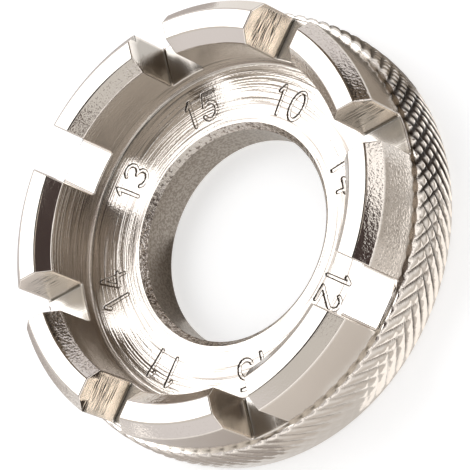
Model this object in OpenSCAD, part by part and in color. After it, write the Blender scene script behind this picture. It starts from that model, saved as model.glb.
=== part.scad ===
// Round spoke wrench: one turned, milled and knurled steel ring that is held by its rim.
// It lies on its flat back at z = 0 with its axis on Z. A ring of jaws stands up from the
// numbered web, and each gap between two jaws is a parallel slot that fits the flats of one
// size of spoke nipple. Sizes are in millimetres.

/* [Knurled rim] */
// Largest diameter of the barrel-shaped rim that the fingers turn
rim_d = 38; // [37.6:0.1:46]
// Height of the rim, from the back face to the shoulder below the jaws
rim_h = 5; // [3.5:0.1:5.5]
// How far the barrel falls away in radius, from its middle to its edges
rim_fall = 0.24; // [0.1:0.02:0.4]
// Chamfer on the back edge of the rim
rim_back_chamfer = 0.35; // [0.1:0.05:0.8]
// Number of knurl grooves round the rim, in each of the two directions
knurl_count = 88; // [40:1:120]
// Depth of the knurl grooves
knurl_depth = 0.3; // [0.1:0.02:0.34]

/* [Crown of jaws] */
// Outer diameter of the crown
crown_d = 36.7; // [34:0.1:36.8]
// Thickness of the crown's wall, which is the depth of a jaw from front to back
crown_wall = 3.7; // [2.6:0.1:5]
// Height of the jaws above the slot floors
jaw_h = 5.2; // [3:0.1:8]
// Width of the chamfers on the inner and outer edge of the jaw tops
jaw_chamfer_w = 1.05; // [0.2:0.05:1.2]
// Height of those chamfers
jaw_chamfer_h = 1.1; // [0.2:0.05:2]

/* [Web] */
// Thickness of the web that carries the size numbers
web_t = 4.2; // [2.5:0.1:6]
// Height of the sill that the milling cutter leaves between the web and the slot floors
sill_h = 1.1; // [0.6:0.1:3]
// Radius of the turned corner where the web meets the crown
web_corner_r = 0.4; // [0.1:0.05:0.5]

/* [Centre hole] */
// Diameter of the hole through the web
bore_d = 18; // [8:0.5:24]
// Chamfer at the front of the hole
bore_front_chamfer = 0.5; // [0.1:0.05:1]
// Chamfer at the back of the hole
bore_back_chamfer = 0.3; // [0.1:0.05:1]

/* [Slots] */
// Width of the slot for nipples of gauge 10
slot_10_w = 5.1; // [4.8:0.05:5.6]
// Width of the slot for nipples of gauge 11
slot_11_w = 4.7; // [4.5:0.05:5.2]
// Width of the slot for nipples of gauge 12
slot_12_w = 4.4; // [4.2:0.05:4.8]
// Width of the slot for nipples of gauge 13
slot_13_w = 4; // [3.8:0.05:4.4]
// Width of the two slots for nipples of gauge 14
slot_14_w = 3.65; // [3.3:0.05:3.9]
// Width of the two slots for nipples of gauge 15
slot_15_w = 3.5; // [3.1:0.05:3.7]
// Radius that the cutter leaves along both sides of a slot floor
slot_corner_r = 0.25; // [0.1:0.05:0.6]

/* [Hidden] */
$fn = 180;

// How far a cut runs past the face that it opens
overrun = 0.2;
// How far the core stays inside the grooves of the knurl
core_inset = 0.05;

rim_r = rim_d / 2;
// A chord of rim_h across a circle of this radius has a rise of rim_fall
rim_arc_r = (rim_h * rim_h / 4 + rim_fall * rim_fall) / (2 * rim_fall);

// Angle and length of half a groove spacing round the rim
knurl_step = 180 / knurl_count;
knurl_half_pitch = PI * rim_r / knurl_count;
// Rows as high as half a groove spacing is wide, so that the grooves run at about 45 degrees
knurl_rows = round((rim_h - rim_back_chamfer) / knurl_half_pitch);
knurl_row_h = (rim_h - rim_back_chamfer) / knurl_rows;
// Share of the rows, at each edge of the rim, that have grooves in one direction only
knurl_edge_share = 0.3;
knurl_edge_rows = floor(knurl_rows * knurl_edge_share);

crown_r = crown_d / 2;
crown_bore_r = crown_r - crown_wall;
slot_floor_h = web_t + sill_h;
crown_h = slot_floor_h + jaw_h;
bore_r = bore_d / 2;

// Radius of the core at the back edge of the knurl, and of the knurled band's hidden inner face
core_back_r = barrel_r(rim_back_chamfer) - knurl_depth - 2 * core_inset;
knurl_root_r = crown_r - crown_wall / 2;

// Slots in order round the crown, the first on +X, each the same angle after the last
slot_widths = [slot_12_w, slot_14_w, slot_10_w, slot_15_w, slot_13_w, slot_14_w, slot_11_w, slot_15_w];
slot_step = 360 / len(slot_widths);

// Radius of the barrel-shaped rim at a height above the back face
function barrel_r(h) = rim_r - rim_arc_r + sqrt(pow(rim_arc_r, 2) - pow(h - rim_h / 2, 2));

// Half section of the core, from the back of the hole round to its front, with the jaws still joined
module core_section() {
    polygon([
        [bore_r, bore_back_chamfer],
        [bore_r + bore_back_chamfer, 0],
        [core_back_r - rim_back_chamfer, 0],
        [core_back_r + core_inset, rim_back_chamfer + core_inset],
        [core_back_r + core_inset, rim_h / 2],
        [crown_r, rim_h / 2],
        [crown_r, crown_h - jaw_chamfer_h],
        [crown_r - jaw_chamfer_w, crown_h],
        [crown_bore_r + jaw_chamfer_w, crown_h],
        [crown_bore_r, crown_h - jaw_chamfer_h],
        [crown_bore_r, web_t],
        [bore_r + bore_front_chamfer, web_t],
        [bore_r, web_t - bore_front_chamfer]
    ]);
}

// Metal that the round nose of the turning tool leaves in the corner of the web
module web_corner() {
    difference() {
        translate([crown_bore_r - web_corner_r, web_t - overrun])
            square([web_corner_r + overrun, web_corner_r + overrun]);
        translate([crown_bore_r - web_corner_r, web_t + web_corner_r]) circle(r = web_corner_r);
    }
}

module turned_core() {
    rotate_extrude() {
        core_section();
        web_corner();
    }
}

// A point on the ring at column i of the knurl
function ring_point(r, i, h) = [r * cos(i * knurl_step), r * sin(i * knurl_step), h];

// Corner of the knurl at column i and row j. Grooves of the two directions cross at every second
// corner, and the corners between them are peaks at the barrel's full radius.
function knurl_corner(i, j) =
    let (h = rim_back_chamfer + j * knurl_row_h)
    ring_point(barrel_r(h) - ((i + j) % 2 == 0 ? knurl_depth : 0), i, h);

// Two triangles that fill the corners a, b, c, d, which run clockwise as seen from outside
function split_ac(a, b, c, d) = [[a, b, c], [a, c, d]];
function split_bd(a, b, c, d) = [[a, b, d], [b, c, d]];

// Band of knurl round the rim. Each cell between four corners folds along a diagonal: along the
// rising grooves near the back edge, along the falling ones near the shoulder, and along whichever
// groove crosses it in between, where the two directions make diamonds.
module knurled_band() {
    columns = 2 * knurl_count;
    corners = [for (j = [0 : knurl_rows], i = [0 : columns - 1]) knurl_corner(i, j)];
    roots = [for (h = [rim_back_chamfer, rim_h], i = [0 : columns - 1]) ring_point(knurl_root_r, i, h)];
    front = knurl_rows * columns;
    back_root = len(corners);
    front_root = back_root + columns;
    faces = [
        for (i = [0 : columns - 1])
            let (n = (i + 1) % columns)
            each concat(
                [for (j = [0 : knurl_rows - 1])
                    let (a = j * columns + i, d = j * columns + n, b = a + columns, c = d + columns)
                    let (near_back = j < knurl_edge_rows, near_front = j >= knurl_rows - knurl_edge_rows)
                    let (rising = near_back || (!near_front && (i + j) % 2 == 0))
                    each rising ? split_ac(a, b, c, d) : split_bd(a, b, c, d)],
                split_ac(front + i, front_root + i, front_root + n, front + n),
                split_ac(front_root + i, back_root + i, back_root + n, front_root + n),
                split_ac(back_root + i, i, n, back_root + n)
            )
    ];
    polyhedron(points = concat(corners, roots), faces = faces);
}

// One parallel slot, milled outwards along +X through the wall of the crown
module slot_cut(width) {
    side = width / 2 - slot_corner_r;
    rise = jaw_h + overrun;
    translate([crown_bore_r / 2, 0, slot_floor_h]) rotate([90, 0, 90])
        linear_extrude(height = crown_r - crown_bore_r / 2 + overrun) {
            translate([-side, 0]) square([2 * side, rise]);
            translate([-width / 2, slot_corner_r]) square([width, rise - slot_corner_r]);
            for (end = [-side, side]) translate([end, slot_corner_r]) circle(r = slot_corner_r);
        }
}

module wrench_ring() {
    color("silver") difference() {
        union() {
            turned_core();
            knurled_band();
        }
        for (i = [0 : len(slot_widths) - 1]) rotate([0, 0, i * slot_step]) slot_cut(slot_widths[i]);
    }
}

wrench_ring();
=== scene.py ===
# %% [markdown]
# # A round spoke wrench in bright nickel
# The tool is one steel ring. A lathe turned it, a mill cut eight slots across its crown, a wheel rolled
# the knurl into its rim, a punch stamped the numbers, and a bath of nickel covered the whole. The packed
# CAD model gives the frame, in metres, with the axis on Z and the flat back at z = 0. The looks are built
# around it here: one closed mesh that has the CAD's sizes and adds rounded edges, numbers and marks.

import math

import bpy
import numpy as np
from mathutils import Matrix


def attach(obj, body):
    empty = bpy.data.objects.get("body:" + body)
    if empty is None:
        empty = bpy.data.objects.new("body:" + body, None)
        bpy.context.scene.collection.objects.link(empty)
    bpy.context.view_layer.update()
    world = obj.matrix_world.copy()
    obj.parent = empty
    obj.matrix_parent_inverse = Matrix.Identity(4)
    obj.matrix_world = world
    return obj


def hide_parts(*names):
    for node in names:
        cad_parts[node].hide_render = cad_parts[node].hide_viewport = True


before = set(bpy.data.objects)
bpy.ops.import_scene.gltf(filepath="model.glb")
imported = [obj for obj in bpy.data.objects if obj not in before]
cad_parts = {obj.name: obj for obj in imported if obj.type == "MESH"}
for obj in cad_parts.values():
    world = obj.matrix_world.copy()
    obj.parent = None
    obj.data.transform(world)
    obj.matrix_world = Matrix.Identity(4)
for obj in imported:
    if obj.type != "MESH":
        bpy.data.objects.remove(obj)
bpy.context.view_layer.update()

# %% [markdown]
# ## Sizes
# The sizes are the CAD source's own, in millimetres, so that every surface lands where the solid is. Two
# differ a little. The web's corner is 0.1 mm tighter, because its highlight is a thin line. The rim stays
# a hair inside the CAD's corner points, because a facetted circle is smaller than a true one. The mesh is
# worked out in millimetres too and turned to metres once, at the end.

# %% Sizes of the ring
MM = 0.001
TURN = 2 * math.pi

rim_r, rim_h, rim_fall, rim_back_chamfer = 18.995, 5.0, 0.24, 0.35
crown_r, crown_bore_r, crown_h, jaw_chamfer_w, jaw_chamfer_h = 18.35, 14.65, 10.5, 1.05, 1.1
web_h, web_corner_r, slot_floor_h, slot_corner_r = 4.2, 0.3, 5.3, 0.25
bore_r, bore_front_chamfer, bore_back_chamfer = 9.0, 0.5, 0.3

slot_widths = np.array([4.4, 3.65, 5.1, 3.5, 4.0, 3.65, 4.7, 3.5])
SLOTS = len(slot_widths)
slot_middles = np.arange(SLOTS) * TURN / SLOTS
print("slots:", SLOTS, "from", slot_widths.min(), "to", slot_widths.max(), "mm wide")

# %% [markdown]
# ## Columns round the ring
# A closed ring of columns carries the whole mesh. The sides of a milled slot are parallel, not radial, so
# in the crown a column's angle changes with its radius. Nine steps cross each slot, short ones in its two
# rounded corners, and twenty-four cross each jaw. Away from the crown the columns can be spread evenly,
# and each step can be split where finer detail needs it.

# %% Angles of the columns
SLOT_COLUMNS, JAW_COLUMNS = 9, 24

corner_turn = np.radians([0, 30, 60, 90])
corner_in = slot_corner_r * (1 - np.cos(corner_turn))
corner_up = slot_corner_r * (1 - np.sin(corner_turn))
half = slot_widths[:, None] / 2
slot_y = np.hstack([-half + corner_in, -half / 3, half / 3, half - corner_in[::-1]])
slot_z = slot_floor_h + np.concatenate([corner_up, [0, 0], corner_up[::-1]])


def crown_angles(radius):
    """Angles of the crown's columns at one radius. A slot's columns keep their distance y from its middle
    line, so their angle is asin(y / radius). A jaw's columns are spread evenly between two slots."""
    slots = slot_middles[:, None] + np.arcsin(slot_y / radius)
    after = np.append(slots[1:, 0], slots[0, 0] + TURN)
    share = np.arange(1, JAW_COLUMNS) / JAW_COLUMNS
    jaws = slots[:, -1:] + (after - slots[:, -1])[:, None] * share
    return np.hstack([slots, jaws]).ravel()


def finer(angles, times):
    """The same ring with each step split evenly into a number of smaller ones."""
    closed = np.append(angles, angles[0] + TURN)
    return np.interp(np.arange(len(angles) * times) / times, np.arange(len(closed)), closed)


inner_angles, outer_angles = crown_angles(crown_bore_r), crown_angles(crown_r)
COLUMNS = len(inner_angles)
even_start = (inner_angles - TURN * np.arange(COLUMNS) / COLUMNS).mean()


def even_angles(count):
    """Evenly spread angles that start where, on average, the crown's columns do."""
    return even_start + TURN * np.arange(count) / count


print("columns round the ring:", COLUMNS)

# %% [markdown]
# ## Patches
# Each surface is worked out as an array of points and an array of faces, four corners to a face, with -1
# as the fourth corner of a triangle. A patch also says which finish its faces have, and its points carry
# values for the materials: how far they lie across and along the tool marks, how grainy the plate is, how
# much soil and painted shade it carries, and how far off the nearest stamped stroke is. All patches are
# welded at the end.

# %% Helpers for patches
TURNED, BRIGHT, MILLED, KNURLED, BORED, SCRAPED = FINISHES = range(6)
patches = []


def ring(angles, radius, height):
    """Points on a circle: radius times cosine and sine of the angles, at a height."""
    return np.stack(np.broadcast_arrays(radius * np.cos(angles), radius * np.sin(angles), height), -1)


# The soil level carries painted shade as well as some soil.
def add_patch(finish, points, faces, marks=0.0, grain=0.0, soil_and_shade=0.0, stroke_off=1.0):
    """Keeps one patch. Points come as an array whose last axis is x, y, z. The other values belong to the
    points too, and a single number stands for all of them."""
    points = points.reshape(-1, 3)
    count = len(points)
    patches.append({
        "points": points,
        "faces": faces,
        "finish": np.broadcast_to(finish, len(faces)),
        "marks": np.broadcast_to(np.reshape(marks, (-1, 2)) if np.ndim(marks) else marks, (count, 2)),
        "grain": np.broadcast_to(np.ravel(grain), count),
        "soil_and_shade": np.broadcast_to(np.ravel(soil_and_shade), count),
        "stroke_off": np.broadcast_to(np.ravel(stroke_off), count),
    })


print("finishes to tell apart:", len(FINISHES))

# %% [markdown]
# Faces come in two kinds. A grid joins each row of points to the next one. Where a ring of few columns
# meets a ring of many, a fan of triangles joins them, so nothing is left open.

# %% Helpers for faces
def grid_faces(rows, columns, closed=False):
    """Faces of a grid of points, row by row, whose last column joins its first if it is closed."""
    numbers = np.arange(rows * columns).reshape(rows, columns)
    if closed:
        numbers = np.hstack([numbers, numbers[:, :1]])
    a, b, c, d = numbers[:-1, :-1], numbers[:-1, 1:], numbers[1:, 1:], numbers[1:, :-1]
    return np.stack([a, b, c, d], -1).reshape(-1, 4)


def joining_faces(first, second):
    """Faces between two closed rings of first and second points, the second's numbers following the
    first's. If one ring has several times the other's points, each coarse step gets a fan: half of its
    fine steps meet its first corner and half its second, and one triangle stands on the step itself."""
    if first == second:
        return grid_faces(2, first, closed=True)
    few, many = min(first, second), max(first, second)
    times = many // few
    coarse_at, fine_at = (0, first) if first < second else (first, 0)
    step = np.arange(many)
    owner = (step // times + (step % times >= times // 2)) % few
    fans = np.stack([coarse_at + owner, fine_at + (step + 1) % many, fine_at + step], -1)
    base = np.arange(few)
    peak = fine_at + base * times + times // 2
    stand = np.stack([coarse_at + base, coarse_at + (base + 1) % few, peak], -1)
    triangles = np.vstack([fans, stand])
    if first > second:
        triangles = triangles[:, ::-1]
    return np.hstack([triangles, np.full((len(triangles), 1), -1)])


def add_rings(finish, *rings, grain=0.0):
    """Joins rings in order. Walked from the crown down the inside, under the back and up the outside,
    every face points out of the metal."""
    for first, second in zip(rings, rings[1:]):
        add_patch(finish, np.vstack([first, second]), joining_faces(len(first), len(second)), grain=grain)


print("faces between rings of 4 and 12 points:", len(joining_faces(4, 12)))

# %% [markdown]
# ## Turned inside: sill, corner, hole and back
# The lathe left plain surfaces of revolution: a wall below the slots, a small round corner into the web,
# the hole with its two chamfers, and a faced back. A Screw modifier could spin them from a section, but
# the edge under the slots isn't level: it dips to the slot floor at each slot and stands at the jaws' feet
# between. So each surface is a few rings of points, and the uppermost ring takes those heights.

# %% Rings of the turned inside
jaw_foot_h = slot_floor_h + slot_corner_r
lip_heights = np.tile(np.append(slot_z, np.full(JAW_COLUMNS - 1, jaw_foot_h)), SLOTS)
inner_lip = ring(inner_angles, crown_bore_r, lip_heights)

corner_steps = np.radians(np.linspace(0, 90, 6))[:, None]
corner_rings = ring(
    inner_angles,
    crown_bore_r - web_corner_r * (1 - np.cos(corner_steps)),
    web_h + web_corner_r * (1 - np.sin(corner_steps)),
)
sill_middle = ring(inner_angles, crown_bore_r, (web_h + web_corner_r + lip_heights) / 2)
add_rings(TURNED, inner_lip, sill_middle, *corner_rings)

web_outer, web_inner = corner_rings[-1], ring(inner_angles, bore_r + bore_front_chamfer, web_h)
bore_heights = (web_h - bore_front_chamfer, 2.6, 1.4, bore_back_chamfer)
bore_rings = [ring(inner_angles, bore_r, height) for height in bore_heights]
back_inner_r = bore_r + bore_back_chamfer
add_rings(SCRAPED, web_inner, bore_rings[0])
add_rings(BORED, *bore_rings)
add_rings(TURNED, bore_rings[-1], ring(inner_angles, back_inner_r, 0.0))
print("turned inside: rings of", COLUMNS, "points")

# %% [markdown]
# ## The stamped numbers
# Beside each slot the web carries the gauge of the nipple that fits it. On the tool they are thin strokes,
# about 0.3 mm wide, pushed in by a punch. They could be text cut with a boolean, but a font has two edges
# to each stroke and leaves long thin faces. Here each digit is a few lines and arcs in millimetres, with x
# along the number and y outwards from its foot. They were stamped by hand, so they stand a little to one
# side of their slots, on a circle that isn't quite in the middle of the web.

# %% Strokes of the digits
DIGIT_H = 2.42
FOOT_R, FOOT_SHIFT, FOOT_SHIFT_TO = 10.85, 0.37, 75


def arc(x, y, rx, ry, start, end, steps=14):
    """Points along part of an ellipse, from a start to an end angle in degrees."""
    a = np.radians(np.linspace(start, end, steps))
    return np.stack([x + rx * np.cos(a), y + ry * np.sin(a)], -1)


digit_strokes = {
    "0": [arc(0, DIGIT_H / 2, 0.66, DIGIT_H / 2, 0, 360, 28)],
    "1": [np.array([[-0.38, DIGIT_H - 0.5], [0, DIGIT_H], [0, 0]])],
    "2": [np.vstack([arc(0, DIGIT_H - 0.62, 0.6, 0.62, 165, -38), [[-0.62, 0], [0.62, 0]]])],
    "3": [arc(-0.04, DIGIT_H - 0.61, 0.62, 0.61, 150, -82), arc(-0.06, 0.61, 0.7, 0.61, 80, -150)],
    "4": [np.array([[0.34, 0], [0.34, DIGIT_H], [-0.6, 0.7], [0.62, 0.7]])],
    "5": [np.vstack([
        [[0.58, DIGIT_H], [-0.44, DIGIT_H], [-0.54, 1.34]],
        arc(0, 0.78, 0.67, 0.78, 132, -152),
    ])],
}

# Each number's text and the angles, in degrees, at which its two digits stand.
number_places = [
    ("12", 1.2, -7.1), ("14", 49.4, 40.5), ("10", 95.3, 86.2), ("15", 140.4, 131.8),
    ("13", 182.6, 174.8), ("14", 227.7, 219.3), ("11", 271.1, 262.1), ("15", 315.5, 307.3),
]


def number_foot_r(degrees):
    """Radius of a digit's foot: a circle whose middle is shifted off the tool's axis, so the radius falls
    by the shift times the cosine of the angle to its direction."""
    return FOOT_R - FOOT_SHIFT * math.cos(math.radians(degrees - FOOT_SHIFT_TO))


print("digits:", sum(len(text) for text, *_ in number_places))

# %% [markdown]
# The web's grid needs to be finest where the digits are. A density says how many columns each angle gets:
# more within ten degrees of a number, fewer between. Adding the density up round the ring and reading it
# backwards gives angles that crowd together there, and towards the web's two edges the columns slide back
# to where the neighbouring rings have theirs.

# %% Columns and rows of the web
WEB_TIMES = 3
EXTRA_DENSITY, NUMBER_HALF, FADE = 1.9, 9.5, 2
number_middles = np.radians([(a + b) / 2 for _, a, b in number_places])
web_edge_angles = finer(inner_angles, WEB_TIMES)

fine_turn = np.linspace(-TURN, 2 * TURN, 21601)
off_number = np.abs((fine_turn[:, None] - number_middles + TURN / 2) % TURN - TURN / 2).min(1)
density = 1 + EXTRA_DENSITY / (1 + np.exp((np.degrees(off_number) - NUMBER_HALF) * FADE))
summed = np.concatenate([[0], np.cumsum((density[1:] + density[:-1]) / 2)])
per_turn = summed[-1] / 3
at_edges = np.interp(web_edge_angles, fine_turn, summed)
web_steps = np.arange(len(web_edge_angles)) * per_turn / len(web_edge_angles)
crowded_angles = np.interp(web_steps + (at_edges - web_steps).mean(), summed, fine_turn)

web_radii = np.concatenate([[14.33, 14.2, 14.05], np.linspace(13.9, 10.1, 54), [9.92, 9.72, 9.51]])
crowding = np.interp(web_radii, [9.51, 10.0, 13.9, 14.33], [0, 1, 1, 0])[:, None]
web_angle = web_edge_angles + (crowded_angles - web_edge_angles) * crowding
web_x, web_y = web_radii[:, None] * np.cos(web_angle), web_radii[:, None] * np.sin(web_angle)
print("web grid:", web_angle.shape)

# %% [markdown]
# A punch leaves a flat-bottomed stroke with steep flanks. So each point of the web is measured against the
# digit's lines: inside a stroke it sinks by the full depth, and across the stroke's flank the depth
# fades smoothly to nothing. The distance itself is kept too, because the material darkens the flanks.

# %% Push the digits into the web
STROKE_HALF, STROKE_FLANK, STAMP_DEPTH = 0.15, 0.09, 0.08
REACH_ALONG, REACH_UP, FAR_OFF = 1.4, 2.0, 9.0


def distance_to_line(x, y, line):
    """Distance of points to a bent line: to each of its straight pieces, drop a perpendicular, keep the
    foot between the piece's ends, and take the nearest of all."""
    start, step = line[:-1], np.diff(line, axis=0)
    dx, dy = x[..., None] - start[:, 0], y[..., None] - start[:, 1]
    along = np.clip((dx * step[:, 0] + dy * step[:, 1]) / (step ** 2).sum(1), 0, 1)
    return np.hypot(dx - along * step[:, 0], dy - along * step[:, 1]).min(-1)


stroke_off = np.full(web_angle.shape, FAR_OFF)
for text, *places in number_places:
    for digit, degrees in zip(text, places):
        a, foot = math.radians(degrees), number_foot_r(degrees)
        outwards = web_x * math.cos(a) + web_y * math.sin(a) - foot
        along = web_x * math.sin(a) - web_y * math.cos(a)
        near = (np.abs(along) < REACH_ALONG) & (np.abs(outwards - DIGIT_H / 2) < REACH_UP)
        for line in digit_strokes[digit]:
            found = distance_to_line(along[near], outwards[near], line)
            stroke_off[near] = np.minimum(stroke_off[near], found)

stamp = np.clip((STROKE_HALF + STROKE_FLANK / 2 - stroke_off) / STROKE_FLANK, 0, 1)
stamp = stamp ** 2 * (3 - 2 * stamp)
web_points = np.stack([web_x, web_y, web_h - STAMP_DEPTH * stamp], -1)
web_faces = grid_faces(*web_angle.shape, closed=True)
add_patch(TURNED, web_points, web_faces, stroke_off=np.minimum(stroke_off, 1.0))
add_rings(TURNED, web_outer, web_points[0])
add_rings(TURNED, web_points[-1], web_inner)
print("points in a stroke:", int((stamp > 0.1).sum()))

# %% [markdown]
# ## The knurled rim
# Two families of grooves, 88 in each, were rolled into the barrel-shaped rim at about 45 degrees. The CAD
# cuts them with flat sides. A rolled groove is rounder and shallower, so here the rim is a grid of points
# that sink by a formula. Nine columns go to one groove spacing, and a row is as high as a column is wide,
# so a groove moves on by exactly one column in each row and its edges stay clean.

# %% Barrel of the rim
KNURL_COUNT, KNURL_TIMES, KNURL_ROWS = 88, 9, 31
TOP_ROUND, TOP_FALL = 0.3, 0.16

knurl_h = np.linspace(rim_back_chamfer, rim_h, KNURL_ROWS + 1)[:, None]
barrel_arc_r = (rim_h ** 2 / 4 + rim_fall ** 2) / (2 * rim_fall)
barrel_r = rim_r - barrel_arc_r + np.sqrt(barrel_arc_r ** 2 - (knurl_h - rim_h / 2) ** 2)
in_round = np.clip((knurl_h - rim_h + TOP_ROUND) / TOP_ROUND, 0, 1)
barrel_r = barrel_r - TOP_FALL * in_round ** 2
print("barrel radius in mm:", barrel_r.min().round(2), "to", barrel_r.max().round(2))

# %% [markdown]
# The wheel was not pressed in evenly. Near the back only the rising grooves are deep, near the shoulder
# only the falling ones, and between the two they cross as diamonds. From 26 to 60 degrees round the rim
# the rising ones stay deep further up, and from -85 to -25 degrees they almost fade. Each table below
# gives a share of the full depth, over the height or over the angle, and the deeper groove wins.

# %% Grooves of the knurl
KNURL_DEPTH, GROOVE_POWER, LEAST_LEDGE = 0.22, 3.0, 0.06

column, row = np.arange(KNURL_COUNT * KNURL_TIMES), np.arange(KNURL_ROWS + 1)[:, None]
knurl_angles = even_angles(len(column))
around = (np.degrees(knurl_angles) + 180) % 360 - 180
up_share = (knurl_h - rim_back_chamfer) / (rim_h - rim_back_chamfer)


def groove_of(place):
    """Depth from 0 to 1 of a round groove that repeats at every whole number of place: half of one plus a
    cosine, raised to a power that makes the groove narrower than the ridge."""
    return (0.5 + 0.5 * np.cos(TURN * place)) ** GROOVE_POWER


rising_low = np.interp(up_share, [0, 0.05, 0.15, 0.5, 0.8, 1], [0.1, 0.5, 1, 1, 0.1, 0])
rising_high = np.interp(up_share, [0, 0.05, 0.15, 0.8, 1], [0.1, 0.5, 1, 1, 0.3])
rising = rising_low + (rising_high - rising_low) * np.interp(around, [8, 26, 60, 75], [0, 1, 1, 0])
rising = rising * np.interp(around, [-110, -85, -60, -25, -8, 5], [1, 0.4, 0.15, 0.2, 0.85, 1])
falling = np.interp(up_share, [0, 0.2, 0.6, 0.92, 1], [0, 0.1, 1, 1, 0.6])
falling = falling * np.interp(around, [-110, -70, -25, 5, 30], [1, 0.65, 0.6, 0.95, 1])
knurl_groove = np.maximum(
    rising * groove_of((column - row) / KNURL_TIMES),
    falling * groove_of((column + row) / KNURL_TIMES),
)
knurl_r = np.maximum(barrel_r - KNURL_DEPTH * knurl_groove, crown_r + LEAST_LEDGE)
knurl_points = ring(knurl_angles, knurl_r, np.broadcast_to(knurl_h, knurl_r.shape))
print("knurl grid:", knurl_groove.shape)

# %% [markdown]
# Darkness is painted into the grooves: mostly painted shade, where little light reaches a groove's bottom,
# with some soil. It is a power of the groove's depth: a high power leaves a thin line, and a low one fills
# the whole groove, as where the diamonds are deepest. From 24 to 68 degrees round the rim the grooves are
# filled and darkest, painted shade for the tool's own shadow that they mirror. A light, even darkening
# covers the side on which the grooves are shallow.

# %% Painted shade and soil in the knurl
# Painted shade: the band from 24 to 68 degrees and the light darkening on the shallow side.
filled = np.interp(around, [24, 38, 60, 68], [0, 1, 1, 0])
shallow_side_darkening = np.interp(around, [-85, -65, -25, -5], [0, 0.2, 0.2, 0])
knurl_soil_and_shade = np.maximum(knurl_groove ** (1.7 - 1.2 * filled) * (0.85 + 0.4 * filled), shallow_side_darkening)
add_patch(KNURLED, knurl_points, grid_faces(*knurl_r.shape, closed=True), soil_and_shade=knurl_soil_and_shade)
print("mean soil in the knurl:", knurl_soil_and_shade.mean().round(2))

# %% [markdown]
# ## Back, shoulder and outer wall
# The back face runs from the hole to the small chamfer under the knurl, and the shoulder runs from the
# knurl's upper edge to the crown's outer wall. On the way the columns slide from the crown's angles to
# even ones, which the knurl needs. The shoulder was turned after the rolling, so the falling grooves end
# on it as a chain of notches. The shoulder's faces are flat, and the dark notches are painted shade,
# drawn by the same groove formula.

# %% Back, shoulder and outer wall
back_edge_r, WALL_FOOT_GRAIN = 18.07, 0.1

even = even_angles(COLUMNS)
back_rings = [
    ring(inner_angles + (even - inner_angles) * s, back_inner_r + (back_edge_r - back_inner_r) * s, 0.0)
    for s in (0, 0.35, 0.7, 1)
]
back_chamfer = ring(even, back_edge_r + rim_back_chamfer, rim_back_chamfer)
add_rings(TURNED, *back_rings, back_chamfer, knurl_points[0])

outer_lip = ring(outer_angles, crown_r, lip_heights)
wall_rings = [
    ring(even + (outer_angles - even) * s, crown_r, rim_h + (lip_heights - rim_h) * s)
    for s in (0, 0.35, 0.7)
]
# Painted shade: the dark notches on the flat shoulder.
notches = groove_of((column + KNURL_ROWS) / KNURL_TIMES) ** 0.7
ledge_notch_shade = np.append(notches, 0.9 * notches[::len(column) // COLUMNS])
ledge = np.vstack([knurl_points[-1], wall_rings[0]])
add_patch(MILLED, ledge, joining_faces(len(column), COLUMNS), soil_and_shade=ledge_notch_shade)
add_rings(BRIGHT, *wall_rings, outer_lip, grain=WALL_FOOT_GRAIN)
print("back, shoulder and wall joined to the knurl")

# %% [markdown]
# ## Crown
# The crown was turned as a wall with a chamfer on each upper edge. Its section is a line of points that
# climbs the inner wall, crosses the chamfers and the flat top, and goes down the outer wall. The inner wall
# has the web's turned finish, and everything after it is bright.

# %% Section of the crown
WALL_STEPS, CHAMFER_POINTS = 4, 4

top_bends = (crown_bore_r, crown_bore_r + jaw_chamfer_w, crown_r - jaw_chamfer_w, crown_r)
top_radii = np.concatenate([[crown_bore_r]] + [
    np.linspace(start, end, CHAMFER_POINTS)[1:] for start, end in zip(top_bends, top_bends[1:])
])
in_chamfer = np.minimum(top_radii - crown_bore_r, crown_r - top_radii) / jaw_chamfer_w
top_heights = crown_h - jaw_chamfer_h * (1 - np.clip(in_chamfer, 0, 1))

wall_share = np.arange(WALL_STEPS) / WALL_STEPS
wall_top_h = crown_h - jaw_chamfer_h
wall_heights = jaw_foot_h + (wall_top_h - jaw_foot_h) * wall_share
section_r = np.concatenate([np.full(WALL_STEPS, crown_bore_r), top_radii, np.full(WALL_STEPS, crown_r)])
section_h = np.concatenate([wall_heights, top_heights, wall_heights[::-1]])
row_finish = np.where(np.arange(len(section_r) - 1) < WALL_STEPS, TURNED, BRIGHT)
on_wall, on_chamfer = section_h < wall_top_h, section_h < crown_h
print("section of the crown:", len(section_r), "points")

# %% [markdown]
# ## Jaws
# A jaw is that section carried round from one slot to the next. Boxes could be cut from a whole crown, but
# that leaves long thin faces, so each row of the section runs from one slot's side to the next slot's
# instead. No two jaws of a hand-finished tool are alike. Three tables, one value for each jaw, say how
# grainy its chamfers and its outer wall are and how far its inner wall is polished. The flat tops are plain.

# %% Jaws
CHAMFER_GRAIN = (1.0, 1.1, 0.1, 1.3, 0.05, 2.0, 0.3, 0.05)
WALL_GRAIN = (2.2, 0.4, 0.05, 0.2, 0.05, 0.5, 0.1, 0.02)
WALL_POLISH = (0.0, 0.6, 0.75, 0.75, 0.0, 0.6, 0.6, 0.6)

section_angles = np.stack([crown_angles(r) for r in section_r])
closed_angles = np.hstack([section_angles, section_angles[:, :1] + TURN])
per_sector = SLOT_COLUMNS + JAW_COLUMNS
for k in range(SLOTS):
    jaw = closed_angles[:, k * per_sector + SLOT_COLUMNS:(k + 1) * per_sector + 1]
    points = ring(jaw, section_r[:, None], np.broadcast_to(section_h[:, None], jaw.shape))
    grain = np.select([on_wall, on_chamfer], [WALL_GRAIN[k], CHAMFER_GRAIN[k]], 0.0)
    grain[:WALL_STEPS] = WALL_POLISH[k]
    grain = np.broadcast_to(grain[:, None], jaw.shape)
    add_patch(np.repeat(row_finish, jaw.shape[1] - 1), points, grid_faces(*jaw.shape)[:, ::-1], grain=grain)
print("points in a jaw:", jaw.size)
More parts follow.
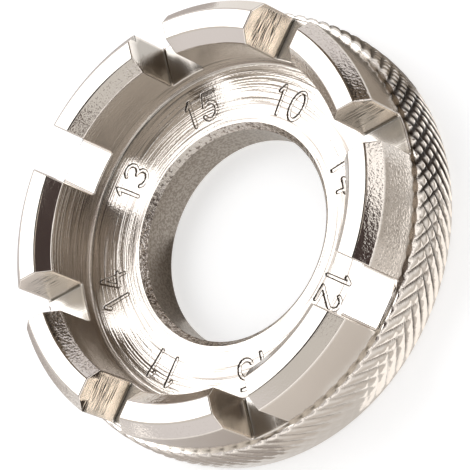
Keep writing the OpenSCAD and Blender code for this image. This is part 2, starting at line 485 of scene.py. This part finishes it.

# %% [markdown]
# ## Slots
# A slot has a floor with rounded corners and two upright sides, which are the jaws' ends. Both are grids
# between the same radii as the jaws' tops, so their edges meet point by point. The cutter left lines on
# the sides. Painted shade darkens some whole slots and, most of all, a line in the slots' corners. Three
# tables give the strength of each for every slot, and the slots marked 12 and 13 carry no shade. The map
# of the tool marks starts 20 mm further on at each slot, so that no two slots show the same lines.

# %% Slot floors and sides
# The second and third tables are painted shade: over whole slots, and as a dark line in their corners.
SIDE_LINES = (0.6, 1.14, 1.22, 0.9, 0.6, 1.02, 1.2, 0.9)
SLOT_SHADE = (0.0, 0.36, 0.0, 0.51, 0.0, 0.34, 0.0, 0.42)
CORNER_SHADE = (0.0, 0.8, 0.8, 0.8, 0.0, 0.8, 0.8, 0.8)
CORNER_COLUMNS, MAP_STEP = [1, 2, -3, -2], 20

side_share = np.linspace(0, 1, WALL_STEPS + 1)
side_h = jaw_foot_h + (top_heights[:, None] - jaw_foot_h) * side_share
for k, width in enumerate(slot_widths):
    across = np.concatenate([[0], np.cumsum(np.hypot(np.diff(slot_y[k]), np.diff(slot_z)))])
    across -= across[-1] / 2
    angles = slot_middles[k] + np.arcsin(slot_y[k] / top_radii[:, None])
    floor = ring(angles, top_radii[:, None], np.broadcast_to(slot_z, angles.shape))
    marks = np.stack(np.broadcast_arrays(across + MAP_STEP * k, top_radii[:, None]), -1)
    # Painted shade over the slot, darker in its corner columns.
    soil_and_shade = np.full(angles.shape, SLOT_SHADE[k])
    soil_and_shade[:, CORNER_COLUMNS] = CORNER_SHADE[k]
    add_patch(MILLED, floor, grid_faces(*angles.shape)[:, ::-1], marks, soil_and_shade=soil_and_shade)
    for side in (1, -1):
        edge = slot_middles[k] + side * np.arcsin(width / 2 / top_radii)[:, None]
        wall = ring(np.broadcast_to(edge, side_h.shape), top_radii[:, None], side_h)
        climb = side * (across[-1] + side_h - jaw_foot_h) + MAP_STEP * k
        marks = np.stack(np.broadcast_arrays(climb, top_radii[:, None]), -1)
        faces = grid_faces(*side_h.shape)
        add_patch(MILLED, wall, faces[:, ::-1] if side == 1 else faces, marks, SIDE_LINES[k], SLOT_SHADE[k])
print("patches:", len(patches))

# %% [markdown]
# ## Welding
# Points of different patches that lie in one place become one point. Rounding the coordinates to a tenth of
# a micron and asking numpy for the unique rows does that without a loop. It also says which patch's point
# each one is taken from, and that point's values for the materials come with it.

# %% Weld the patches
WELD_STEPS = 1e4

starts = np.cumsum([0] + [len(p["points"]) for p in patches])
points = np.vstack([p["points"] for p in patches])
faces = np.vstack([np.where(p["faces"] < 0, -1, p["faces"] + s) for p, s in zip(patches, starts)])
finish = np.concatenate([p["finish"] for p in patches])
marks = np.vstack([p["marks"] for p in patches])

steps = np.round(points * WELD_STEPS).astype(np.int64)
_, first_use, welded = np.unique(steps, axis=0, return_index=True, return_inverse=True)
used = faces >= 0
corner_points = faces[used]
corners = welded.ravel()[corner_points]
face_sizes = used.sum(1)
print("points:", len(points), "welded to", len(first_use))

# %% [markdown]
# Blender's mesh takes whole arrays: the points, the corners of all faces in one row, and where each face
# starts in it. The values for the materials go with the points. Only the map of the tool marks goes with
# the corners, because a point on a slot's edge has a place on it for the slot's own faces alone. A closed
# skin has two faces on every edge, so the edges that have more or fewer are counted.

# %% Make the mesh
ring_mesh = bpy.data.meshes.new("spoke_wrench")
ring_mesh.vertices.add(len(first_use))
ring_mesh.vertices.foreach_set("co", (points[first_use] * MM).ravel())
ring_mesh.loops.add(len(corners))
ring_mesh.loops.foreach_set("vertex_index", corners.astype(np.int32))
ring_mesh.polygons.add(len(faces))
ring_mesh.polygons.foreach_set("loop_start", (np.cumsum(face_sizes) - face_sizes).astype(np.int32))
ring_mesh.polygons.foreach_set("material_index", finish.astype(np.int32))
ring_mesh.update(calc_edges=True)
ring_mesh.polygons.foreach_set("use_smooth", np.ones(len(faces), bool))

mark_map = ring_mesh.uv_layers.new(name="tool_marks")
mark_map.uv.foreach_set("vector", (marks[corner_points] * MM).astype(np.float32).ravel())
for name in ("grain", "soil_and_shade", "stroke_off"):
    values = np.concatenate([p[name] for p in patches])
    level = ring_mesh.attributes.new(name, "FLOAT", "POINT")
    level.data.foreach_set("value", values[first_use].astype(np.float32))

edge_of_corner = np.empty(len(corners), np.int32)
ring_mesh.loops.foreach_get("edge_index", edge_of_corner)
bad_edges = int((np.bincount(edge_of_corner) != 2).sum())
print("faces:", len(faces), "open or doubled edges:", bad_edges)

# %% [markdown]
# ## Rounded edges
# No edge on a plated tool is truly sharp. A fine round catches the light as a thin bright or dark line,
# and the photograph shows such a line on every jaw. A Bevel modifier makes it, and it has to know which
# edges: the outward ones where two faces meet at more than 20 degrees, on the crown and round the hole.
# Each edge's two faces are found by sorting the face corners by their edge. Where an edge is inward, or
# belongs to the knurl, it gets no round and, if it bends by more than 32 degrees, is marked sharp instead.

# %% Find the crisp edges
ROUND_OVER, SHARP_OVER = 20, 32

normals, centres = np.empty((2, len(faces), 3), np.float32)
ring_mesh.polygons.foreach_get("normal", normals.ravel())
ring_mesh.polygons.foreach_get("center", centres.ravel())
face_of_corner = np.repeat(np.arange(len(faces)), face_sizes)
pairs = face_of_corner[np.argsort(edge_of_corner, kind="stable")].reshape(-1, 2)
first, second = pairs.T
bend = np.degrees(np.arccos(np.clip((normals[first] * normals[second]).sum(1), -1, 1)))
outward = ((centres[second] - centres[first]) * normals[first]).sum(1) < 0
crisp = np.isin(finish[pairs], (BRIGHT, MILLED, BORED)).any(1)
rough = np.isin(finish[pairs], (KNURLED, SCRAPED)).any(1)
rounded = (bend > ROUND_OVER) & outward & crisp & ~rough

round_weight = ring_mesh.attributes.new("bevel_weight_edge", "FLOAT", "EDGE")
round_weight.data.foreach_set("value", rounded.astype(np.float32))
sharp = ring_mesh.attributes.new("sharp_edge", "BOOLEAN", "EDGE")
sharp.data.foreach_set("value", (bend > SHARP_OVER) & ~rounded)
print("edges to round:", int(rounded.sum()))

# %% [markdown]
# ## The wrench itself
# The mesh becomes one object at the origin, with the Bevel modifier on it. It replaces the CAD's only node
# and rides on its only body.

# %% The wrench itself
EDGE_ROUND = 0.13

wrench = bpy.data.objects.new("spoke_wrench", ring_mesh)
bpy.context.scene.collection.objects.link(wrench)
edge_round = wrench.modifiers.new("edge_round", "BEVEL")
edge_round.limit_method = "WEIGHT"
edge_round.width = EDGE_ROUND * MM
edge_round.segments = 3
edge_round.use_clamp_overlap = False
edge_round.harden_normals = True

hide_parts("wrench_ring")
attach(wrench, "root")
print("piece:", wrench.name, "with", len(ring_mesh.polygons), "faces before rounding")

# %% [markdown]
# ## Materials
# Nickel plate is a warm, slightly yellow white metal. All its colour is in its reflections, so every
# finish below is the same metal. They differ in fine relief, which bends the reflections, and in stains:
# soil, worn spots and lines that plating hardly covered.

# %% Helpers for materials
def linear(hex_code):
    """An sRGB hex colour as linear red, green, blue and alpha."""
    srgb = np.array([int(hex_code[i:i + 2], 16) for i in (1, 3, 5)]) / 255
    low, high = srgb / 12.92, ((srgb + 0.055) / 1.055) ** 2.4
    return (*np.where(srgb <= 0.04045, low, high), 1.0)


def add_node(tree, kind, inputs=(), **settings):
    """Adds a node, sets its properties and fills its inputs by name or number. Another node's output is
    linked, and anything else is a plain value."""
    node = tree.nodes.new(kind)
    for name, value in settings.items():
        setattr(node, name, value)
    for name, value in dict(inputs).items():
        if isinstance(value, bpy.types.NodeSocket):
            tree.links.new(value, node.inputs[name])
        else:
            node.inputs[name].default_value = value
    return node


NICKEL = linear("#cdc5bc")


def new_metal(name, roughness):
    """A metal material, its tree and its shader, with plain values set on the shader's own sockets."""
    material = bpy.data.materials.new(name)
    material.use_nodes = True
    shader = material.node_tree.nodes["Principled BSDF"]
    shader.inputs["Base Color"].default_value = NICKEL
    shader.inputs["Metallic"].default_value = 1.0
    shader.inputs["Roughness"].default_value = roughness
    return material, material.node_tree, shader


print("nickel, linear:", [round(float(v), 3) for v in NICKEL])

# %% [markdown]
# Every finish is put together from the same few things. Noise stretched along the lathe's rings gives tool
# marks: rings run where radius plus height stays the same, on flat faces and on walls alike, so that sum
# is the pattern's fast direction, and x and y change it slowly, which breaks the rings up along their
# length. Even noise gives grain. Bumps chained one after the other turn both into relief, and a stain
# mixes a second colour in where a level is high.

# %% Helpers for marks, relief and stains
def ring_marks(tree, pitch_mm, run_mm, detail):
    """Noise that changes over pitch_mm across the lathe's rings and over run_mm along them."""
    place = add_node(tree, "ShaderNodeTexCoord").outputs["Object"]
    level = add_node(tree, "ShaderNodeVectorMath", {0: place, 1: (1, 1, 0)}, operation="MULTIPLY").outputs[0]
    radius = add_node(tree, "ShaderNodeVectorMath", {0: level}, operation="LENGTH").outputs["Value"]
    height = add_node(tree, "ShaderNodeSeparateXYZ", {0: place}).outputs["Z"]
    across = add_node(tree, "ShaderNodeMath", {0: radius, 1: height}, operation="ADD").outputs[0]
    pitch = {0: across, 1: 1 / (pitch_mm * MM)}
    fast = add_node(tree, "ShaderNodeMath", pitch, operation="MULTIPLY").outputs[0]
    fast = add_node(tree, "ShaderNodeCombineXYZ", {"Z": fast}).outputs[0]
    run = {0: level, 1: (1 / (run_mm * MM),) * 3, 2: fast}
    both = add_node(tree, "ShaderNodeVectorMath", run, operation="MULTIPLY_ADD").outputs[0]
    noise = {"Vector": both, "Scale": 1.0, "Detail": detail, "Roughness": 0.6}
    return add_node(tree, "ShaderNodeTexNoise", noise).outputs["Fac"]


def peel(tree, grain_mm, detail=1):
    """Even noise with grains of one size."""
    place = add_node(tree, "ShaderNodeTexCoord").outputs["Object"]
    noise = {"Vector": place, "Scale": 1 / (grain_mm * MM), "Detail": detail}
    return add_node(tree, "ShaderNodeTexNoise", noise).outputs["Fac"]


def relief(tree, shader, *layers):
    """Chains bump nodes, one for each height and its depth in millimetres, into the shader's normal."""
    normal = {}
    for height, depth_mm in layers:
        values = {"Height": height, "Distance": depth_mm * MM, "Strength": 1.0, **normal}
        normal = {"Normal": add_node(tree, "ShaderNodeBump", values).outputs["Normal"]}
    tree.links.new(normal["Normal"], shader.inputs["Normal"])


def stain(tree, base, colour, level, low, high, most=1.0):
    """Mixes a stain into a base colour where a level rises from low to high, up to a largest share."""
    values = {0: level, 1: low, 2: high, 4: most}
    share = add_node(tree, "ShaderNodeMapRange", values, interpolation_type="SMOOTHSTEP").outputs[0]
    colours = {0: share, 6: base, 7: linear(colour)}
    return add_node(tree, "ShaderNodeMix", colours, data_type="RGBA").outputs[2]


print("ways to mark a metal:", [f.__name__ for f in (ring_marks, peel, relief, stain)])

# %% [markdown]
# ### Turned nickel
# The web and the back were faced on a lathe, whose tool leaves fine rings of unequal depth. To the eye the
# rings draw every reflection out into streaks round the hole. Real feed marks are 0.05 mm apart, too fine
# to show here, so they are drawn coarser, at 0.45 mm and 0.2 mm. Polish takes the rings away from some of
# the jaws' inner walls, and the flanks of the stamped strokes are darkened with painted shade and some soil.

# %% Turned nickel
# The darkening of the stroke flanks is painted shade, with some soil.
FLANK_SHADE_AND_SOIL_FROM, FLANK_SHADE_AND_SOIL_TO = 0.065, 0.01

turned_nickel, tree, shader = new_metal("turned_nickel_plate", 0.2)
polish = add_node(tree, "ShaderNodeAttribute", attribute_name="grain").outputs["Fac"]
unpolished = add_node(tree, "ShaderNodeMath", {0: 1.0, 1: polish}, operation="SUBTRACT").outputs[0]
coarse, fine = (
    add_node(tree, "ShaderNodeMath", {0: rings, 1: unpolished}, operation="MULTIPLY").outputs[0]
    for rings in (ring_marks(tree, 0.45, 14, 2), ring_marks(tree, 0.2, 7, 1))
)
relief(tree, shader, (coarse, 0.032), (fine, 0.05), (peel(tree, 0.17, 2), 0.018))
colour = stain(tree, NICKEL, "#7a726a", fine, 0.56, 0.7, 0.72)
# Painted shade and soil on the flanks of the strokes.
stroke = add_node(tree, "ShaderNodeAttribute", attribute_name="stroke_off").outputs["Fac"]
off_flank = add_node(tree, "ShaderNodeMath", {0: stroke, 1: STROKE_HALF}, operation="SUBTRACT").outputs[0]
off_flank = add_node(tree, "ShaderNodeMath", {0: off_flank}, operation="ABSOLUTE").outputs[0]
colour = stain(tree, colour, "#4a423b", off_flank, FLANK_SHADE_AND_SOIL_FROM, FLANK_SHADE_AND_SOIL_TO)
tree.links.new(colour, shader.inputs["Base Color"])
print(turned_nickel.name, len(tree.nodes), "nodes")

# %% [markdown]
# ### Bright nickel
# The crown's walls and chamfers were turned finer, and plating left them mirror-bright. Pits of 0.24 mm and
# an orange peel of 0.15 mm break the edge of every reflection into crumbs. Where the grain is strong, dark
# specks show as well, where the plate has worn through. Real pits are finer and were drawn coarser.

# %% Bright nickel
bright_nickel, tree, shader = new_metal("bright_nickel_plate", 0.09)
grain = add_node(tree, "ShaderNodeAttribute", attribute_name="grain").outputs["Fac"]
pits = add_node(tree, "ShaderNodeMath", {0: peel(tree, 0.24, 2), 1: grain}, operation="MULTIPLY").outputs[0]
specks = add_node(tree, "ShaderNodeMapRange", {0: peel(tree, 0.16, 2), 1: 0.58, 2: 0.68}).outputs[0]
specks = add_node(tree, "ShaderNodeMath", {0: specks, 1: grain}, operation="MULTIPLY").outputs[0]
tree.links.new(stain(tree, NICKEL, "#4a3d33", specks, 0.0, 1.0, 0.4), shader.inputs["Base Color"])
relief(tree, shader, (pits, 0.028), (peel(tree, 0.15), 0.005), (ring_marks(tree, 0.3, 4, 1), 0.002))
print(bright_nickel.name, len(tree.nodes), "nodes")

# %% [markdown]
# ### Milled nickel
# The slot cutter left straight lines that run outwards along each slot. The mesh carries a map of how far
# each point lies across and along those lines, because every slot points another way. Noise on that map,
# 0.1 mm across the lines and 1.9 mm along them, gives lines that come and go as a cutter's do. The finest
# real ones are too fine to show here. To the eye the lines are dark scores on pale metal, because the
# plate is thin on them. Painted shade browns some slots, the slots' corners and the notches on the shoulder.

# %% Milled nickel
def mill_marks(tree, pitch_mm, run_mm):
    """Noise that changes over pitch_mm across a slot's lines and over run_mm along them."""
    place = add_node(tree, "ShaderNodeUVMap", uv_map="tool_marks").outputs["UV"]
    scale = (1 / (pitch_mm * MM), 1 / (run_mm * MM), 0)
    place = add_node(tree, "ShaderNodeVectorMath", {0: place, 1: scale}, operation="MULTIPLY").outputs[0]
    return add_node(tree, "ShaderNodeTexNoise", {"Vector": place, "Scale": 1.0, "Detail": 1.0}).outputs["Fac"]


milled_nickel, tree, shader = new_metal("milled_nickel_plate", 0.2)
lines = mill_marks(tree, 0.1, 1.9)
grain = add_node(tree, "ShaderNodeAttribute", attribute_name="grain").outputs["Fac"]
side_lines = add_node(tree, "ShaderNodeMath", {0: lines, 1: grain}, operation="MULTIPLY").outputs[0]
relief(tree, shader, (side_lines, 0.02), (lines, 0.004))
soil_and_shade = add_node(tree, "ShaderNodeAttribute", attribute_name="soil_and_shade").outputs["Fac"]
# Painted shade: browns some slots, their corners and the shoulder's notches.
colour = stain(tree, linear("#f3ece3"), "#352a12", soil_and_shade, 0.0, 1.0)
tree.links.new(stain(tree, colour, "#2a1f12", side_lines, 0.59, 0.7, 0.95), shader.inputs["Base Color"])
print(milled_nickel.name, len(tree.nodes), "nodes")

# %% [markdown]
# ### Knurled, bored and scraped nickel
# Rolling leaves the lands of the knurl satin and full of nicks about 0.3 mm across. Its grooves are
# darkened with painted shade and some soil, as set on the knurl above. The hole was drilled and has a
# dull, even grain of 0.2 mm, which makes it a calm grey beside the mirrors. Its base colour is darker than
# the other nickel: painted shade for the dim inside of the hole. The chamfer round it was scraped by hand,
# so it is rough, in crumbs of 0.3 mm, and has brown spots where the plate has chipped.

# %% Knurled, bored and scraped nickel
knurled_nickel, tree, shader = new_metal("knurled_nickel_plate", 0.12)
relief(tree, shader, (peel(tree, 0.3, 2), 0.03))
soil_and_shade = add_node(tree, "ShaderNodeAttribute", attribute_name="soil_and_shade").outputs["Fac"]
# Painted shade, with some soil, darkens the grooves of the knurl.
tree.links.new(stain(tree, NICKEL, "#2e2722", soil_and_shade, 0.05, 0.9), shader.inputs["Base Color"])

bored_nickel_shaded, tree, shader = new_metal("bored_nickel_plate_shaded", 0.4)
grain = peel(tree, 0.2, 2)
relief(tree, shader, (grain, 0.02))
# Painted shade: the hole's base colour is darker than the other nickel.
tree.links.new(stain(tree, linear("#b3aaa0"), "#958c82", grain, 0.4, 0.6), shader.inputs["Base Color"])

scraped_nickel, tree, shader = new_metal("scraped_nickel_plate", 0.2)
grain = peel(tree, 0.3, 2)
relief(tree, shader, (grain, 0.08))
tree.links.new(stain(tree, NICKEL, "#5a4a3f", grain, 0.52, 0.66, 0.7), shader.inputs["Base Color"])

for material in (turned_nickel, bright_nickel, milled_nickel, knurled_nickel, bored_nickel_shaded, scraped_nickel):
    ring_mesh.materials.append(material)
print("finishes:", len(ring_mesh.materials))

# %% [markdown]
# ## Studio
# The floor is plain white paper that keeps the tool's soft shadow. A little glow of its own, which only
# the camera and reflections see, makes it as white as paper is in a studio. The room round it is an even
# white with a dark ceiling, because a mirror-bright tool in a room that is white all over has no shape.

# %% Floor
FLOOR_HALF, FLOOR_DROP, FLOOR_GLOW = 3.0, 0.02 * MM, 0.5

scene = bpy.context.scene
scene.view_settings.view_transform = "Standard"

floor_mesh = bpy.data.meshes.new("floor")
corner = FLOOR_HALF * np.array([[-1, -1, 0], [1, -1, 0], [1, 1, 0], [-1, 1, 0]]) - [0, 0, FLOOR_DROP]
floor_mesh.from_pydata(corner.tolist(), [], [(0, 1, 2, 3)])
floor = bpy.data.objects.new("floor", floor_mesh)
scene.collection.objects.link(floor)

paper = bpy.data.materials.new("white_paper_floor")
paper.use_nodes = True
tree = paper.node_tree
tree.nodes.clear()
path = add_node(tree, "ShaderNodeLightPath").outputs
seen = path["Is Camera Ray"]
for kind in ("Is Glossy Ray", "Is Transmission Ray"):
    seen = add_node(tree, "ShaderNodeMath", {0: seen, 1: path[kind]}, operation="MAXIMUM").outputs[0]
glow = add_node(tree, "ShaderNodeMath", {0: seen, 1: FLOOR_GLOW}, operation="MULTIPLY").outputs[0]
glow = add_node(tree, "ShaderNodeEmission", {"Strength": glow}).outputs[0]
paper_white = add_node(tree, "ShaderNodeBsdfDiffuse", {"Color": linear("#dcdcdc")}).outputs[0]
both = add_node(tree, "ShaderNodeAddShader", {0: paper_white, 1: glow}).outputs[0]
add_node(tree, "ShaderNodeOutputMaterial", {"Surface": both})
floor_mesh.materials.append(paper)
print("floor at", floor_mesh.vertices[0].co.z)

# %% [markdown]
# A room needs no walls here: the world's colour depends on how high one looks. Each level is given by the
# sine of its height above the horizon, its brightness, and how blue it is against its red.

# %% Room
GREEN = 0.99
room_levels = [
    (0.0, 1.0, 1.03), (0.2, 1.06, 1.03), (0.38, 1.06, 1.03), (0.48, 0.88, 0.97),
    (0.8, 1.02, 0.97), (0.88, 0.45, 0.97), (0.94, 0.06, 0.97), (1.0, 0.06, 0.97),
]

world = bpy.data.worlds.new("white_room")
world.use_nodes = True
tree = world.node_tree
room_direction = add_node(tree, "ShaderNodeTexCoord").outputs["Generated"]
room_height = add_node(tree, "ShaderNodeSeparateXYZ", {0: room_direction}).outputs["Z"]
room_shades = add_node(tree, "ShaderNodeValToRGB", {"Fac": room_height})
stops = room_shades.color_ramp.elements
for height, *_ in room_levels[1:-1]:
    stops.new(height)
for stop, (_, brightness, blue) in zip(stops, room_levels):
    stop.color = (brightness, brightness * GREEN, brightness * blue, 1)
tree.links.new(room_shades.outputs["Color"], tree.nodes["Background"].inputs["Color"])
scene.world = world
print("levels of the room:", len(stops))

# %% [markdown]
# ### Soft box
# One large soft light stands behind the tool, where the camera sees it mirrored in every level face. That
# makes the tops of the jaws and much of the web white. It also throws the soft shadow.

# %% Soft box
SOFT_BOX_LEVEL, SOFT_BOX_DISTANCE = 1.9, 0.9


def towards(azimuth, elevation):
    """Unit vector to a compass direction: azimuth from +X towards +Y, elevation above the floor."""
    a, e = math.radians(azimuth), math.radians(elevation)
    return np.array([math.cos(a) * math.cos(e), math.sin(a) * math.cos(e), math.sin(e)])


def facing_basis(direction):
    """Right, up and direction as the columns of a turn, with up as near +Z as it can be."""
    right = np.cross([0, 0, 1], direction)
    right /= np.linalg.norm(right)
    return np.stack([right, np.cross(direction, right), direction], 1)


def placed(basis, place):
    """A 4 by 4 matrix from a turn and a place."""
    matrix = np.eye(4)
    matrix[:3, :3], matrix[:3, 3] = basis, place
    return Matrix(matrix.tolist())


soft_box = bpy.data.lights.new("soft_box", "AREA")
soft_box.shape = "RECTANGLE"
soft_box.size, soft_box.size_y = 0.6, 0.74
soft_box.color = (0.98, 1.0, 1.05)
soft_box.energy = SOFT_BOX_LEVEL * math.pi * soft_box.size * soft_box.size_y
soft_box_direction = towards(180, 53)
soft_box_object = bpy.data.objects.new("soft_box", soft_box)
scene.collection.objects.link(soft_box_object)
soft_box_place = SOFT_BOX_DISTANCE * soft_box_direction
soft_box_object.matrix_world = placed(facing_basis(soft_box_direction), soft_box_place)
soft_box_object.visible_camera = False
print("soft box watts:", round(soft_box.energy, 3))

# %% [markdown]
# ### Standing cards
# A bright tool shows its surroundings, so a studio stands cards of grey, brown and white round it, each
# where one face of the tool mirrors it. Two stand close by on the camera's side, one above the other. The
# others lie on a dome, each between two azimuths and two elevations. Only reflections see a card: it
# lights nothing and throws no shadow.

# %% Standing cards
NEAR_R, NEAR_FOOT, NEAR_TOP, DOME_R = 0.1, 0.02, 0.112, 1.1
share = np.linspace(0, 1, 13)[:, None]


def add_card(name, colour, points, glow=0.0):
    """A card made of a grid of points in metres. Only reflections see it."""
    mesh = bpy.data.meshes.new(name)
    mesh.from_pydata(points.reshape(-1, 3).tolist(), [], grid_faces(*points.shape[:2]).tolist())
    felt = bpy.data.materials.new(name + "_felt")
    felt.use_nodes = True
    shader = felt.node_tree.nodes["Principled BSDF"]
    shader.inputs["Base Color"].default_value = linear(colour)
    shader.inputs["Roughness"].default_value = 1.0
    shader.inputs["Emission Color"].default_value = linear("#ffffff")
    shader.inputs["Emission Strength"].default_value = glow
    mesh.materials.append(felt)
    card = bpy.data.objects.new(name, mesh)
    scene.collection.objects.link(card)
    card.visible_camera = card.visible_diffuse = card.visible_shadow = False


def dome_card(name, colour, azimuth, low, high, glow=0.0, distance=DOME_R):
    """A card on a dome round the tool, between two edges given by their elevations in degrees."""
    elevation = np.radians(low + (high - low) * share)
    points = ring(np.radians(azimuth), distance * np.cos(elevation), distance * np.sin(elevation))
    add_card(name, colour, points, glow)


near_azimuth = np.linspace(-4, 74, 31)
dark_foot = np.interp(near_azimuth, [14, 24, 34], [48, 61, 66]) * MM
dark_points = ring(np.radians(near_azimuth), NEAR_R, dark_foot + (NEAR_TOP - dark_foot) * share)
add_card("dark_card", "#4a3d3b", dark_points)
white = (near_azimuth > 34) & (near_azimuth < 63)
white_height = NEAR_FOOT + (dark_foot[white] - NEAR_FOOT) * share
add_card("white_card", "#ffffff", ring(np.radians(near_azimuth[white]), NEAR_R, white_height), glow=0.8)

azimuth = np.linspace(26, 73, 20)
dome_card("tan_card", "#e2d6c6", azimuth, 44, np.interp(azimuth, [14, 40], [54, 66]), glow=0.16)
azimuth = np.linspace(73, 145, 30)
brown_foot = np.interp(azimuth, [73, 88, 92, 108, 116], [8, 8, 15, 15, 30])
dome_card("brown_card", "#8a7c6c", azimuth, brown_foot, 66)
for name, colour, middle, low, high in (
    ("rust_card", "#5a4238", -21, 36, 44),
    ("umber_card", "#54463c", 17, 43, 62),
    ("black_card", "#453e37", 93, 16, 40),
):
    dome_card(name, colour, np.linspace(middle - 8, middle + 9, 9), low, high, distance=0.95 * DOME_R)
azimuth = np.linspace(-116, 66, 40)
dome_card("white_strip", "#ffffff", azimuth, 0.5, np.interp(azimuth, [-84, -76], [4, 17]), glow=0.9)

# %% [markdown]
# ### Cards on the floor
# The knurl, the lower walls and the hole mirror the paper close to the tool. Flat cards there give them
# their tones: white glowing ones under the bright side of the knurl, grey and brown ones elsewhere. The
# grey and brown ones are painted shadow: seen in reflections only, they stand in for the tool's shadow on
# the paper near the rim and inside the hole. Each runs round the tool between an inner and an outer
# radius, given at a few angles and straight between them.

# %% Cards on the floor
def floor_card(name, colour, degrees, inner_mm, outer_mm, glow=0.0, height_mm=0.03):
    """A flat card round the tool, a little above the floor, whose radii are given at a list of angles. A
    single radius holds for all of them."""
    turn = np.linspace(degrees[0], degrees[-1], 91)
    inner, outer = (
        np.interp(turn, degrees, np.broadcast_to(radius, len(degrees))) * MM
        for radius in (inner_mm, outer_mm)
    )
    add_card(name, colour, ring(np.radians(turn), inner + (outer - inner) * share, height_mm * MM), glow)


# Painted shadow: the grey and brown cards stand in for the tool's shadow on the paper.
floor_card("contact_shadow_card", "#7a7268", [62, 68, 95, 110], 19.1, [19.3, 21.4, 21.4, 19.3])
floor_card("glint_card", "#ffffff", [30, 36, 58, 64], 19.05, [19.1, 21.4, 21.4, 19.1], glow=1.3)
floor_card("paper_card", "#efeae5", [308, 330, 362, 370, 377], [20, 22.4, 22.4, 21.8, 21.8], 29, glow=0.2)
floor_card("near_card", "#ffffff", [-28, -8, 2, 10, 30], 19.1, [19.3, 22.4, 22.4, 21.8, 21.8], glow=1.05)
floor_card("right_card", "#e2ddd7", [17, 45], 21.8, 29, glow=0.03)
floor_card("low_card", "#dfd9d5", [225, 308], 20, 29)
floor_card("shade_card", "#c0b6aa", [56, 64, 95, 104], 21, [22, 25.5, 25.5, 22])
floor_card("back_card", "#d2cbc8", [136, 200, 215, 232], 24, [45, 45, 60, 70])
floor_card("hole_shadow_card", "#e4ddd5", [0, 360], 0.1, 6.2, height_mm=0.02)
floor_card("hole_shade", "#aca49c", [194, 210, 230, 244], [8.8, 5.5, 5.5, 8.8], 8.9)

# %% [markdown]
# ## Camera
# The camera was fitted to the circles of the rim, the crown and the hole. It looks down at about 51
# degrees from a little over a quarter of a metre, with a long lens, and is rolled so that the slot marked
# 12 points to the right.

# %% Camera
LENS, SENSOR, CAMERA_DISTANCE, ROLL = 262.8, 36.0, 279.5, 66.34
aim = np.array([1.04, 0.0, 5.0]) * MM
view_direction = towards(0.93, 50.66)
basis, roll = facing_basis(view_direction), math.radians(ROLL)
right = basis[:, 0] * math.cos(roll) - basis[:, 1] * math.sin(roll)
up = basis[:, 0] * math.sin(roll) + basis[:, 1] * math.cos(roll)

camera_data = bpy.data.cameras.new("camera")
camera_data.lens, camera_data.sensor_width = LENS, SENSOR
camera_data.clip_start, camera_data.clip_end = 0.01, 20
camera = bpy.data.objects.new("camera", camera_data)
scene.collection.objects.link(camera)
camera_basis = np.stack([right, up, view_direction], 1)
camera.matrix_world = placed(camera_basis, aim + CAMERA_DISTANCE * MM * view_direction)
scene.camera = camera
print("camera at", [round(float(v), 3) for v in camera.matrix_world.translation])
